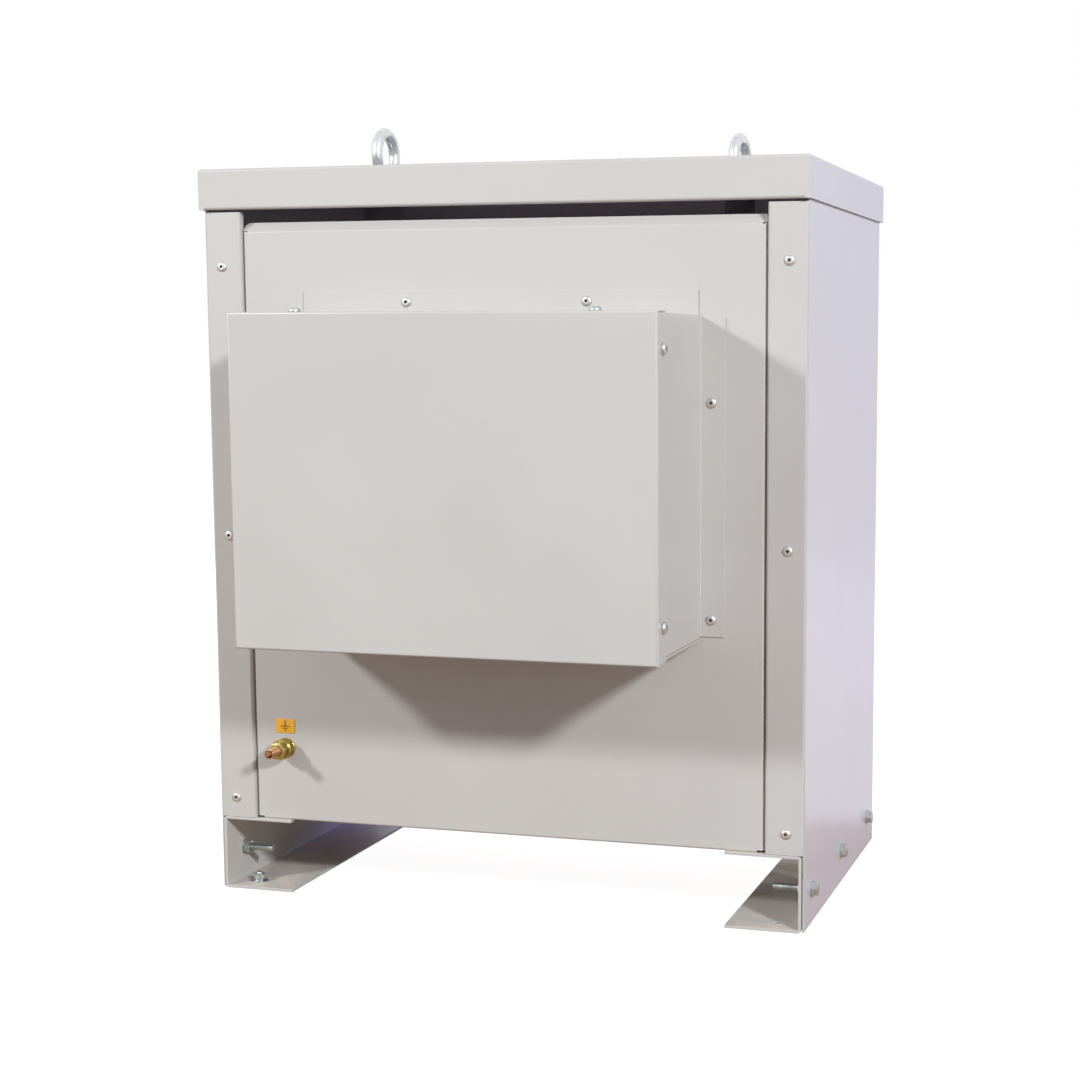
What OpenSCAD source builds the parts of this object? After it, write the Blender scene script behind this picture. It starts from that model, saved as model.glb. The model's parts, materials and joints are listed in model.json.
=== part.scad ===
// Dry-type power transformer in a folded sheet-steel enclosure.
// Millimetres, +Z up, front towards -Y, origin on the floor in the middle of the fixing holes.

/* [Enclosure] */
// Outside width over the two side panels
body_w = 650; // [600:5:760]
// Outside depth over the corner posts
body_d = 400; // [380:5:500]
// Height of the lid's top face above the floor
body_h = 774; // [750:2:880]
// Sheet thickness of the side panels and the lid
shell_t = 2; // [1.5:0.5:3]
// Inside radius of the sheet bends
bend_r = 1; // [0.5:0.25:2]
// Width of the posts that each side panel folds to at front and back
post_w = 41; // [38:1:56]
// Open joint between the top of a post and the lid's lower edge
post_gap = 2.5; // [2:0.5:6]

/* [Lid] */
// Height of the lid's skirt
lid_skirt = 42; // [34:1:60]
// Clearance between the lid and each side panel
lid_side = 1; // [0.5:0.5:4]
// Clearance between the lid and the posts at front and back
lid_front = 4; // [2:0.5:8]
// Width of the strip folded inwards along the front and back skirts
lid_return = 9; // [6:1:14]

/* [Front and back panels] */
// Sheet thickness of the panels and the terminal box
panel_t = 1.5; // [1:0.25:2]
// Depth of the panel face behind the front of the posts
recess = 3.5; // [2:0.5:8]
// Open joint between the panel and the lip of each post
panel_gap = 2; // [1:0.5:5]
// Reach of the panel's edge flange behind each post
edge_flange = 30; // [24:1:33]
// Height of the vent slot below the lid
vent_h = 13; // [8:0.5:20]
// Length of the sloped top edge of the panel
hem = 14; // [9:0.5:18]
// Lean of that edge, back from upright
hem_angle = 45; // [30:1:60]
// Cut-back of the sloped edge's two top corners
hem_mitre = 3; // [1:1:24]
// Depth of the strip folded back along the panel's lower edge
foot_return = 18; // [10:1:30]
// Corner notch of that strip
notch = 7; // [4:0.5:12]

/* [Feet] */
// Height of the two channel feet
foot_h = 80; // [60:1:110]
// Width of the channel flanges, which point inwards
foot_flange = 80; // [66:1:95]
// Sheet thickness of the feet
foot_t = 3; // [2.5:0.5:4]
// Paint gap between each foot and its side panel
foot_gap = 0.8; // [0.3:0.1:0.9]
// Fixing hole diameter
fix_d = 11; // [9:0.5:14]
// Distance of the fixing holes from the outside of the foot
fix_side = 28.2; // [22:0.2:40]
// Distance of the fixing holes from the ends of the foot
fix_end = 22; // [15:0.5:60]

/* [Terminal box] */
// Clear panel width between each side flange and its post
box_side = 43; // [20:1:80]
// Clear panel height between the top flange and the sloped edge
box_drop = 62.5; // [20:0.5:120]
// Height of the body's lower edge above the feet
box_rise = 217; // [140:1:260]
// Depth from the panel face to the front of the cover
box_d = 160.5; // [130:0.5:200]
// Width of the fixing flanges
box_flange = 25; // [18:1:32]
// Depth of the cover's folded edge
cover_d = 27; // [20:1:40]
// Clearance between the cover and the body
cover_gap = 0.4; // [0.3:0.1:0.8]
// Thickness of the two gland plates that close the bottom
gland_t = 2; // [1.5:0.5:2.5]
// Depth of the rear gland plate, from the panel face to the split
gland_split = 40.5; // [30:0.5:70]

/* [Lifting eyes] */
// Ring bore, which is also the diameter of the collar
eye_bore = 34; // [30:1:40]
// Ring wire diameter
eye_wire = 12.5; // [10:0.5:15]
// Thread diameter of the shank
eye_thread = 16; // [12:1:20]
// Height of the ring's top above the lid
eye_top = 54; // [50:1:60]
// Clearance round the eye where it passes the lid
eye_gap = 2; // [1:0.5:5]
// Turn of the right-hand eye about its own shank
eye_turn = 4; // [0:1:30]

/* [Earth stud] */
// Thread diameter
stud_d = 10; // [8:1:12]
// Length in front of the panel
stud_len = 41.5; // [40:0.5:60]
// Distance from the edge of the left post
stud_side = 37; // [20:1:60]
// Height above the feet
stud_rise = 79.5; // [40:0.5:140]
// Width of the nuts across their flats
stud_nut = 17; // [15:1:19]
// Washer diameter
stud_washer = 22; // [20:1:24]
// Thickness of a washer
washer_t = 2; // [1.5:0.5:2.5]
// Thickness of a nut
nut_t = 8; // [6:0.5:9]

/* [Core and coils] */
// Width of the core limbs and height of the yokes
limb_w = 90; // [70:1:105]
// Depth of the lamination stack
stack = 110; // [90:2:130]
// Room between the outer coils and the side panels
side_room = 55; // [30:1:70]
// Room between the core and the lid
head_room = 102; // [70:1:160]
// Distance of the core behind the middle of the enclosure
core_back = 25; // [10:1:40]
// Gap between neighbouring coils
coil_gap = 10; // [4:0.5:20]
// Depth of a coil
coil_d = 200; // [180:2:230]
// Corner radius of a coil
coil_r = 44; // [30:1:60]
// Length of coil former that shows at each end of a coil
former = 14; // [6:1:25]
// Thickness of the yoke clamps
clamp_t = 5; // [4:0.5:8]
// Width of the outward leg of the yoke clamps
clamp_leg = 45; // [36:1:50]
// Distance of the yoke clamps from the core windows
clamp_gap = 10; // [5:1:25]
// Diameter of the lifting posts
post_d = 34; // [28:1:36]

/* [Hidden] */
$fn = 64;
xs = body_w / 2;
yf = body_d / 2;
lid_z = body_h - lid_skirt;
lid_x = xs + lid_side + shell_t;
lid_y = yf + lid_front + shell_t;
post_top = lid_z - post_gap;
post_in = xs - post_w;
face_y = -yf + recess;
lip_y = face_y + 2 * bend_r + panel_t + 1;
panel_x = post_in - panel_gap;
web_x = xs - shell_t - foot_gap;
vent_z = lid_z - vent_h;
hem_z = vent_z - hem * cos(hem_angle) - panel_t / 2 * sin(hem_angle);
box_x = post_in - box_side - box_flange;
box_top = hem_z - box_drop - box_flange;
box_z = foot_h + box_rise;
cover_y = face_y - box_d;
cover_x = box_x + cover_gap + panel_t;
cover_z0 = box_z - gland_t - cover_gap - panel_t;
cover_z1 = box_top + cover_gap + panel_t;
yoke_z = foot_h + clamp_t + 5;
core_top = body_h - shell_t - head_room;
window_h = core_top - yoke_z - 2 * limb_w;
pitch = (xs - shell_t - side_room + coil_gap / 2) / 1.5;
core_w = 2 * pitch + limb_w;
coil_w = pitch - coil_gap;
clamp_h = limb_w - clamp_gap;
eye_r = (eye_bore + eye_wire) / 2;
eye_out = eye_r + eye_wire / 2;
eye_z = body_h + eye_top - eye_out;
eye_seat = eye_z - eye_out + 1;
eye_y = stack / 2 + clamp_leg / 2;
stud_x = post_in - stud_side;
stud_z = foot_h + stud_rise;
stud_neck = stud_d - 0.8;
nuts_len = 3 * washer_t + 2 * nut_t;
stud_back = panel_t + washer_t + nut_t + 4;
seat = 0.3;
lap = 40;

function heading(v) = atan2(v.y, v.x);
function along(v) = v / norm(v);
function cross2(a, b) = a.x * b.y - a.y * b.x;
function bend_angle(a, b) = atan2(cross2(a, b), a * b);

// Section of a folded sheet: flats along a centre line, with a round bend at each corner.
// It is drawn from its first point, so that flats and bends meet as closely as they can.
module folded(centre_line, t, r) {
    pts = [for (p = centre_line) p - centre_line[0]];
    last = len(pts) - 1;
    rc = r + t / 2;
    dirs = [for (i = [0:last - 1]) along(pts[i + 1] - pts[i])];
    turns = [for (i = [0:last]) i == 0 || i == last ? 0 : bend_angle(dirs[i - 1], dirs[i])];
    cut = [for (a = turns) rc * tan(abs(a) / 2)];
    translate(centre_line[0]) {
        for (i = [0:last - 1])
            translate(pts[i] + dirs[i] * cut[i])
                rotate(heading(dirs[i]))
                    translate([0, -t / 2])
                        square([norm(pts[i + 1] - pts[i]) - cut[i] - cut[i + 1], t]);
        for (i = [1:last - 1]) {
            side = sign(turns[i]);
            centre = pts[i] - dirs[i - 1] * cut[i] + side * rc * [-dirs[i - 1].y, dirs[i - 1].x];
            translate(centre)
                sheet_bend(rc, t, heading(dirs[i - 1]) - side * 90, turns[i]);
        }
    }
}

// Ring sector that joins two flats, with a core that runs on a little way into both of them.
module sheet_bend(rc, t, from, sweep) {
    run_on = 5 * sign(sweep);
    ring_sector(rc, t, from, sweep);
    ring_sector(rc, t / 2, from - run_on, sweep + 2 * run_on);
}

module ring_sector(rc, t, from, sweep) {
    reach = 2 * (rc + t);
    intersection() {
        difference() {
            circle(rc + t / 2);
            circle(rc - t / 2);
        }
        polygon(concat([[0, 0]],
            [for (k = [0:3]) reach * [cos(from + sweep * k / 3), sin(from + sweep * k / 3)]]));
    }
}

// Sections drawn in plan, seen from the side (y, z) and seen from the front (x, z).
module up(z0, z1) { translate([0, 0, z0]) linear_extrude(z1 - z0) children(); }
module across(x0, x1) { translate([x0, 0, 0]) rotate([90, 0, 90]) linear_extrude(x1 - x0) children(); }
module backward(y0, y1) { translate([0, y1, 0]) rotate([90, 0, 0]) linear_extrude(y1 - y0) children(); }

module slab(a, b) { translate(a) cube(b - a); }

// Rectangle with two of its corners rounded: the ends of the edge at y = y1.
module arched(x0, x1, y0, y1, r) {
    translate([x0, y0]) square([x1 - x0, y1 - y0 - r]);
    translate([x0 + r, y0]) square([x1 - x0 - 2 * r, y1 - y0]);
    for (x = [x0 + r, x1 - r]) translate([x, y1 - r]) circle(r);
}

// Rectangle with four rounded corners, centred.
module rounded(w, d, r) {
    square([w - 2 * r, d], center = true);
    square([w, d - 2 * r], center = true);
    for (x = [-1, 1], y = [-1, 1]) translate([x * (w / 2 - r), y * (d / 2 - r)]) circle(r);
}

// One sheet, folded to a post with a lip at front and back.
module side_panel() {
    x = xs - shell_t / 2;
    y = yf - shell_t / 2;
    lip = post_in + shell_t / 2;
    up(foot_h + seat, post_top)
        folded([[lip, lip_y], [lip, -y], [x, -y], [x, y], [lip, y], [lip, -lip_y]], shell_t, bend_r);
    slab([xs - shell_t, -yf + shell_t, 1], [xs, yf - shell_t, body_h - shell_t]);
}

module left_side_panel() color([0.80, 0.80, 0.79]) mirror([1, 0, 0]) side_panel();
module right_side_panel() color([0.80, 0.80, 0.79]) side_panel();

// Shallow tray between the posts: sides folded back to flanges behind the lips of the posts,
// a sloped top edge that closes on those sides, and a folded foot.
module vent_panel() {
    yc = face_y + panel_t / 2;
    ye = lip_y + panel_t / 2;
    xw = panel_x - panel_t / 2;
    xe = post_in + edge_flange;
    flat = panel_x - bend_r - panel_t;
    knee = (bend_r + panel_t / 2) * tan(hem_angle / 2);
    lean = [hem * sin(hem_angle), hem * cos(hem_angle)];
    low = foot_h + bend_r + panel_t;
    top = hem_z - knee;
    cut = top - seat;
    slope = [face_y + (vent_z - cut) * tan(hem_angle), vent_z];
    relief = [flat - panel_t, top + 3.5 * knee];
    hem_x = panel_x + panel_gap / 3;
    intersection() {
        up(low, vent_z)
            folded([[-xe, ye], [-xw, ye], [-xw, yc], [xw, yc], [xw, ye], [xe, ye]], panel_t, bend_r);
        across(-xe, xe)
            polygon([[-yf, low], [-yf, cut], [face_y, cut], slope, [0, vent_z], [0, low]]);
    }
    intersection() {
        across(-hem_x, hem_x)
            folded([[yc, hem_z - lap], [yc, hem_z], [yc, hem_z] + lean], panel_t, bend_r);
        backward(-yf, yf)
            polygon([
                [-relief.x, hem_z - 2 * lap], [relief.x, hem_z - 2 * lap],
                relief, [hem_x, relief.y], [hem_x, vent_z - hem_mitre], [hem_x - hem_mitre - 1, vent_z + 1],
                [-hem_x + hem_mitre + 1, vent_z + 1], [-hem_x, vent_z - hem_mitre], [-hem_x, relief.y],
                [-relief.x, relief.y]
            ]);
    }
    across(-panel_x + notch, panel_x - notch)
        folded([[yc, foot_h + lap], [yc, foot_h + panel_t / 2], [yc + foot_return, foot_h + panel_t / 2]],
            panel_t, bend_r);
}

module front_panel() color([0.80, 0.80, 0.79])
    difference() {
        vent_panel();
        translate([-stud_x, face_y - 5, stud_z]) rotate([-90, 0, 0]) cylinder(d = stud_d + 0.6, h = 20);
    }

module back_panel() color([0.80, 0.80, 0.79]) rotate(180) vent_panel();

// Cap with rounded upper edges; the vertical corners meet at open seams.
module cap_body(x, y, z0, z1, r) {
    intersection() {
        across(-x, x) arched(-y, y, z0, z1, r);
        backward(-y, y) arched(-x, x, z0, z1, r);
    }
}

module lid() color([0.80, 0.80, 0.79])
    difference() {
        union() {
            difference() {
                cap_body(lid_x, lid_y, lid_z + bend_r + shell_t, body_h, bend_r + shell_t);
                cap_body(lid_x - shell_t, lid_y - shell_t, lid_z - 1, body_h - shell_t, bend_r);
            }
            for (s = [0, 180]) rotate(s) lid_edge();
            for (s = [-1, 1])
                slab([s * lid_x - (s + 1) / 2 * shell_t, -lid_y + shell_t, lid_z],
                    [s * lid_x + (1 - s) / 2 * shell_t, lid_y - shell_t, lid_z + 10]);
        }
        for (s = [-1, 1], e = [-1, 1])
            translate([s * (lid_x - shell_t / 2), e * (lid_y - shell_t), lid_z + 14])
                cube([shell_t + 1, 0.5, 30], center = true);
        for (s = [-1, 1])
            translate([s * pitch, core_back + s * eye_y, body_h - shell_t - 1])
                cylinder(r = eye_pass() + eye_gap, h = shell_t + 2);
    }

// Widest part of an eye at the lid: its collar, or the ring where it dips below the lid's face.
function eye_pass() = let (dip = min(eye_z - body_h, eye_out))
    max(eye_bore / 2, sqrt(eye_out * eye_out - dip * dip));

// Lower edge of the front skirt, folded inwards between the side panels.
module lid_edge() {
    y = -lid_y + shell_t / 2;
    z = lid_z + shell_t / 2;
    end = xs - shell_t - 1;
    across(-end, end)
        folded([[y, lid_z + 12], [y, z], [y + lid_return, z]], shell_t, bend_r);
    for (s = [-1, 1])
        translate([s * (lid_x + end) / 2, y, lid_z + 6]) cube([lid_x - end, shell_t, 12], center = true);
}

module foot() {
    x = web_x - foot_t / 2;
    tip = web_x - foot_flange;
    difference() {
        backward(-yf, yf)
            folded([[tip, foot_t / 2], [x, foot_t / 2], [x, foot_h - foot_t / 2], [tip, foot_h - foot_t / 2]],
                foot_t, bend_r);
        for (s = [-1, 1])
            translate([web_x - fix_side, s * (yf - fix_end), -1]) cylinder(d = fix_d, h = foot_t + 2);
    }
}

module left_foot() color([0.78, 0.78, 0.77]) mirror([1, 0, 0]) foot();
module right_foot() color([0.78, 0.78, 0.77]) foot();

// Walls of the terminal box: one sheet over both sides and the top, flanged back against the panel.
module terminal_box_body() color([0.80, 0.80, 0.79]) {
    x = box_x - panel_t / 2;
    z0 = box_z + panel_t / 2;
    z1 = box_top - panel_t / 2;
    back = face_y - bend_r - panel_t;
    yp = face_y - panel_t / 2;
    relief = bend_r + panel_t;
    backward(cover_y + panel_t + cover_gap, back)
        folded([[-x + 16, z0], [-x, z0], [-x, z1], [x, z1], [x, z0], [x - 16, z0]], panel_t, bend_r);
    for (s = [-1, 1])
        up(box_z + relief, box_top - relief)
            folded([[s * x, back - 6], [s * x, yp], [s * (box_x + box_flange), yp]], panel_t, bend_r);
    across(-box_x + relief, box_x - relief)
        folded([[back - 6, z1], [yp, z1], [yp, box_top + box_flange]], panel_t, bend_r);
}

module terminal_box_cover() color([0.80, 0.80, 0.79]) {
    half = (cover_z1 - cover_z0) / 2;
    translate([0, cover_y, cover_z0 + half]) rotate([90, 0, 0])
        difference() {
            cap_body(cover_x, half, -cover_d, 0, bend_r + panel_t);
            cap_body(cover_x - panel_t, half - panel_t, -cover_d - 1, -panel_t, bend_r);
            for (s = [-1, 1], e = [-1, 1])
                translate([s * (cover_x - panel_t / 2), e * (half - panel_t), -cover_d / 2 - 4])
                    cube([panel_t + 1, 0.5, cover_d], center = true);
        }
}

module gland_plate(y0, y1)
    slab([-box_x + seat, y0, box_z - gland_t], [box_x - seat, y1, box_z]);

module gland_plate_front() color([0.78, 0.78, 0.77])
    gland_plate(cover_y + panel_t + cover_gap + 1, face_y - gland_split - 0.5);

module gland_plate_rear() color([0.78, 0.78, 0.77])
    gland_plate(face_y - gland_split + 0.5, face_y - panel_t);

// Forged ring on a collar, with its threaded shank below.
module lifting_eye(turn) {
    flange = 5;
    neck = eye_z - eye_bore / 2 - 1.5;
    rotate(turn) translate([0, 0, eye_z]) rotate([0, 90, 0])
        rotate_extrude() translate([eye_r, 0]) circle(d = eye_wire);
    translate([0, 0, eye_seat]) cylinder(d = eye_bore, h = flange);
    translate([0, 0, eye_seat + flange])
        cylinder(d1 = eye_bore, d2 = eye_wire + 7, h = neck - eye_seat - flange);
    translate([0, 0, eye_seat - 26]) cylinder(d = eye_thread, h = 27);
}

module lifting_eye_left() color([0.72, 0.73, 0.72])
    translate([-pitch, core_back - eye_y, 0]) lifting_eye(0);
module lifting_eye_right() color([0.72, 0.73, 0.72])
    translate([pitch, core_back + eye_y, 0]) lifting_eye(-eye_turn);

// Bar from the upper clamp to the collar of its lifting eye.
module lifting_post() {
    difference() {
        translate([0, 0, core_top]) cylinder(d = post_d, h = eye_seat - core_top);
        translate([0, 0, eye_seat - 30]) cylinder(d = eye_thread + 2 * seat, h = 31);
    }
}

module lifting_post_left() color([0.45, 0.45, 0.44]) translate([-pitch, core_back - eye_y, 0]) lifting_post();
module lifting_post_right() color([0.45, 0.45, 0.44]) translate([pitch, core_back + eye_y, 0]) lifting_post();

// Axis of the earth stud: local +Z points out of the panel.
module on_panel() translate([-stud_x, face_y, stud_z]) rotate([90, 0, 0]) children();

// The thread is full size in front of the nuts, and stands in them at its root.
module earth_stud() color([0.74, 0.58, 0.28])
    on_panel() {
        translate([0, 0, -stud_back]) cylinder(d = stud_neck, h = stud_back + nuts_len + 1);
        translate([0, 0, nuts_len + seat]) cylinder(d = stud_d, h = stud_len - nuts_len - seat - 1);
        translate([0, 0, stud_len - 1]) cylinder(d1 = stud_d, d2 = stud_d - 2, h = 1);
    }

module washer(z) translate([0, 0, z]) cylinder(d = stud_washer, h = washer_t);
module nut(z, turn) translate([0, 0, z]) rotate(turn) cylinder(d = stud_nut / cos(30), h = nut_t, $fn = 6);

module earth_stud_nuts() color([0.76, 0.61, 0.32])
    on_panel() difference() {
        union() {
            washer(0);
            nut(washer_t, 12);
            washer(washer_t + nut_t);
            washer(2 * washer_t + nut_t);
            nut(3 * washer_t + nut_t, 40);
            washer(-panel_t - washer_t);
            nut(-panel_t - washer_t - nut_t, 0);
        }
        translate([0, 0, -stud_len]) cylinder(d = stud_neck + 2 * seat, h = 2 * stud_len);
    }

// Three-limb laminated core.
module core() color([0.30, 0.29, 0.29])
    backward(core_back - stack / 2, core_back + stack / 2)
        difference() {
            translate([-core_w / 2, yoke_z]) square([core_w, core_top - yoke_z]);
            for (s = [-1, 1])
                translate([s * pitch / 2 - (pitch - limb_w) / 2, yoke_z + limb_w])
                    square([pitch - limb_w, window_h]);
        }

// Winding on a former that reaches from yoke to yoke.
module coil(x) {
    low = yoke_z + limb_w;
    high = low + window_h;
    translate([x, core_back, 0]) {
        up(low + former, high - former) difference() {
            rounded(coil_w, coil_d, coil_r);
            square([limb_w + 2 * seat, stack + 2 * seat], center = true);
        }
        up(low + seat, high - seat) difference() {
            square([limb_w + 10, stack + 10], center = true);
            square([limb_w + 2 * seat, stack + 2 * seat], center = true);
        }
    }
}

module coil_left() color([0.42, 0.20, 0.12]) coil(-pitch);
module coil_middle() color([0.42, 0.20, 0.12]) coil(0);
module coil_right() color([0.42, 0.20, 0.12]) coil(pitch);

// Steel angle against the face of a yoke, with its outward leg at the given height.
module clamp(z0, leg_z, reach) {
    slab([-reach, -stack / 2 - clamp_t, z0], [reach, -stack / 2, z0 + clamp_h]);
    slab([-reach, -stack / 2 - clamp_leg, leg_z], [reach, -stack / 2, leg_z + clamp_t]);
}

module upper_clamp() clamp(core_top - clamp_h, core_top - clamp_t, core_w / 2 + 10);
module lower_clamp() clamp(foot_h, foot_h, web_x - 30);
module to_core(turn) translate([0, core_back, 0]) rotate(turn) children();

module upper_clamp_front() color([0.45, 0.45, 0.44]) to_core(0) upper_clamp();
module upper_clamp_back() color([0.45, 0.45, 0.44]) to_core(180) upper_clamp();
module lower_clamp_front() color([0.45, 0.45, 0.44]) to_core(0) lower_clamp();
module lower_clamp_back() color([0.45, 0.45, 0.44]) to_core(180) lower_clamp();

left_side_panel();
right_side_panel();
front_panel();
back_panel();
lid();
left_foot();
right_foot();
terminal_box_body();
terminal_box_cover();
gland_plate_front();
gland_plate_rear();
lifting_eye_left();
lifting_eye_right();
lifting_post_left();
lifting_post_right();
earth_stud();
earth_stud_nuts();
core();
coil_left();
coil_middle();
coil_right();
upper_clamp_front();
upper_clamp_back();
lower_clamp_front();
lower_clamp_back();
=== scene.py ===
# %% [markdown]
# # A dry-type power transformer, dressed for the studio
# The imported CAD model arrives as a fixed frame: folded sheets, feet, terminal box, core and coils.
# This lesson gives those sheets their paint and rounded edges, and adds the small parts that a fitter
# would bring in a box: rivets, screws, bolts, the threaded earth stud and the forged lifting eyes.
# Everything is in metres, with the front of the transformer towards -Y and the floor at z = 0.

# %% Load the frame
import json
from math import cos, pi, radians, tan

import bmesh
import bpy
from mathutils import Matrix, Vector


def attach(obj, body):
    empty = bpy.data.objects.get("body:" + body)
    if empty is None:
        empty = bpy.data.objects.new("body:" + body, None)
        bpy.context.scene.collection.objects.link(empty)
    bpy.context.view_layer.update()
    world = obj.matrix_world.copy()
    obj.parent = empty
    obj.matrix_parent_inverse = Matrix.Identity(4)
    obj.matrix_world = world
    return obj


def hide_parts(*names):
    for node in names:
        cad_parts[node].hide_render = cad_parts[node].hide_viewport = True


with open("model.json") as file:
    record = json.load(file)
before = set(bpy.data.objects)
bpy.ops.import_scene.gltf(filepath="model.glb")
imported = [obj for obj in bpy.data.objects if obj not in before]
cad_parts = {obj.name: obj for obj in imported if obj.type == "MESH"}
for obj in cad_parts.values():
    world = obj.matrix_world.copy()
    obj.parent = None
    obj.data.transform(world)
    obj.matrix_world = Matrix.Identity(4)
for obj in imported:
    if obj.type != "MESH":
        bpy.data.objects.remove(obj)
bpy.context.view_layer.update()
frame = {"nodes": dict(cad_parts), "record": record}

MM = 0.001
scene = bpy.context.scene

# %% [markdown]
# ## The camera
# A product photograph of a cabinet is usually taken with a short telephoto lens from about two metres.
# The lens, place and turn here came from fitting the cabinet's known edges to the picture. The picture
# was cropped off-centre, so the lens is shifted a little, as on a view camera, instead of being turned.

# %% Camera
FRAME_PX = 1080
FOCAL_PX = 1956.8
CENTRE_PX = (677.9, 584.0)
SENSOR = 36.0

lens = bpy.data.cameras.new("studio_lens")
lens.sensor_fit = "HORIZONTAL"
lens.sensor_width = SENSOR
lens.lens = FOCAL_PX / FRAME_PX * SENSOR
lens.shift_x = 0.5 - CENTRE_PX[0] / FRAME_PX
lens.shift_y = CENTRE_PX[1] / FRAME_PX - 0.5
lens.clip_end = 100
camera = bpy.data.objects.new("studio_camera", lens)
camera.location = (0.7182, -2.0836, 0.5924)
camera.rotation_euler = (pi / 2 - 0.1221, 0, 0.2718)
scene.collection.objects.link(camera)
scene.camera = camera
print(f"lens {lens.lens:.1f} mm, shift {lens.shift_x:.3f}, {lens.shift_y:.3f}")

# %% [markdown]
# ## Shader sums
# A finish is worked out from patterns: noise for orange peel, bands for laminations, masks for edges.
# Wiring each sum by hand takes many lines, so one small class holds a node's output and lets Python's
# own signs add the Math nodes. Every other node goes through its one method, node().

# %% Signals between shader nodes
class Signal:
    """One output of a shader node. Its sums add Math nodes to the same tree."""

    def __init__(self, tree, socket=None):
        self.tree, self.socket = tree, socket

    def node(self, kind, settings, sockets, out=0):
        """Add a node: its settings first, then the value or the link of each named socket."""
        made = self.tree.nodes.new(kind)
        for key, value in settings.items():
            setattr(made, key, value)
        for key, value in sockets.items():
            if isinstance(value, Signal):
                self.tree.links.new(value.socket, made.inputs[key])
            else:
                made.inputs[key].default_value = value
        return Signal(self.tree, made.outputs[out] if made.outputs else None)

    def sum(self, operation, first, second):
        return self.node("ShaderNodeMath", {"operation": operation}, {0: first, 1: second})

    def __add__(self, other):
        return self.sum("ADD", self, other)

    def __rsub__(self, other):
        return self.sum("SUBTRACT", other, self)

    def __mul__(self, other):
        return self.sum("MULTIPLY", self, other)

    def __gt__(self, other):
        return self.sum("GREATER_THAN", self, other)

    __radd__, __rmul__ = __add__, __mul__

    def stretch(self, low, high):
        """0 at low, 1 at high, smooth between them and level outside."""
        return self.node("ShaderNodeMapRange", {"interpolation_type": "SMOOTHSTEP"},
                         {"Value": self, "From Min": low, "From Max": high})

    def tint(self, first, second):
        """The colour first where this signal is 0 and second where it is 1."""
        return self.node("ShaderNodeMix", {"data_type": "RGBA"}, {0: self, 6: first, 7: second}, 2)

    def noise(self, scale, detail=2.0):
        """Soft noise from 0 to 1, with about so many lumps to a metre."""
        return self.node("ShaderNodeTexNoise", {},
                         {"Vector": self, "Scale": scale, "Detail": detail}, "Fac")


def new_finish(name):
    """A material with nothing in it yet, and the signal of its Object coordinates."""
    finish = bpy.data.materials.new(name)
    finish.use_nodes = True
    finish.node_tree.nodes.clear()
    start = Signal(finish.node_tree)
    return finish, start.node("ShaderNodeTexCoord", {}, {}, "Object")


def rgb(red, green, blue):
    return (red, green, blue, 1.0)


def surface(place, **sockets):
    """Close a finish with a Principled shader."""
    named = {key.replace("_", " "): value for key, value in sockets.items()}
    shader = place.node("ShaderNodeBsdfPrincipled", {}, named)
    place.node("ShaderNodeOutputMaterial", {}, {"Surface": shader})


def bump(height, strength, distance, **under):
    return height.node("ShaderNodeBump", {},
                       {"Height": height, "Strength": strength, "Distance": distance, **under}, "Normal")


print("shader sums are ready")

# %% [markdown]
# ## Room and floor
# The floor and the room look white to the camera and in reflections, but the light that they give is
# lower and has its own colour. What the floor sends back up is brown, like a timber floor: that warms
# the shadows under the box and inside the feet. Close by, mirrors see the timber too, and its edge
# shows as a brown band low in the gloss of the right-hand side.

# %% World and floor
ROOM_LEVEL, HORIZON_LEVEL = 0.25, 0.50
ROOM_TINT = rgb(0.95, 0.985, 1.0)
FLOOR_TONE = rgb(0.31, 0.225, 0.20)
FLOOR_WHITE, FLOOR_SHEEN = 0.95, rgb(0.36, 0.24, 0.10)
TIMBER_EDGE, TIMBER_SKEW, TIMBER_BLUR = 0.379, 0.28, 0.03
FLOOR_SIZE, FLOOR_DROP = 60, 0.2 * MM


def seen_directly(start):
    """1 for rays from the camera and from mirrors and glass, 0 for the light that falls on things."""
    seen = start.node("ShaderNodeLightPath", {}, {}, "Is Camera Ray")
    for ray in ("Is Glossy Ray", "Is Transmission Ray"):
        seen = seen.sum("MAXIMUM", seen, start.node("ShaderNodeLightPath", {}, {}, ray))
    return seen


room = bpy.data.worlds.new("studio_room")
room.use_nodes = True
room.node_tree.nodes.clear()
start = Signal(room.node_tree)
seen = seen_directly(start)
ray = start.node("ShaderNodeTexCoord", {}, {}, "Generated")
height = start.node("ShaderNodeSeparateXYZ", {}, {0: ray}, "Z")
glow = height.stretch(-0.1, 1.0) * (ROOM_LEVEL - HORIZON_LEVEL) + HORIZON_LEVEL
lit = start.node("ShaderNodeBackground", {}, {
    "Color": seen.tint(ROOM_TINT, rgb(1, 1, 1)), "Strength": seen + (1 - seen) * glow})
start.node("ShaderNodeOutputWorld", {}, {"Surface": lit})
scene.world = room

floor_finish, place = new_finish("studio_floor")
matt = place.node("ShaderNodeBsdfDiffuse", {}, {"Color": FLOOR_TONE})
east, north = (place.node("ShaderNodeSeparateXYZ", {}, {0: place}, axis) for axis in "XY")
beyond = (north + east * TIMBER_SKEW).stretch(TIMBER_EDGE - TIMBER_BLUR, TIMBER_EDGE + TIMBER_BLUR)
to_camera = place.node("ShaderNodeLightPath", {}, {}, "Is Camera Ray")
shown = to_camera.sum("MAXIMUM", to_camera, beyond).tint(
    FLOOR_SHEEN, rgb(FLOOR_WHITE, FLOOR_WHITE, FLOOR_WHITE))
glowing = place.node("ShaderNodeEmission", {}, {"Color": shown, "Strength": seen_directly(place)})
both = place.node("ShaderNodeAddShader", {}, {0: matt, 1: glowing})
place.node("ShaderNodeOutputMaterial", {}, {"Surface": both})

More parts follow.
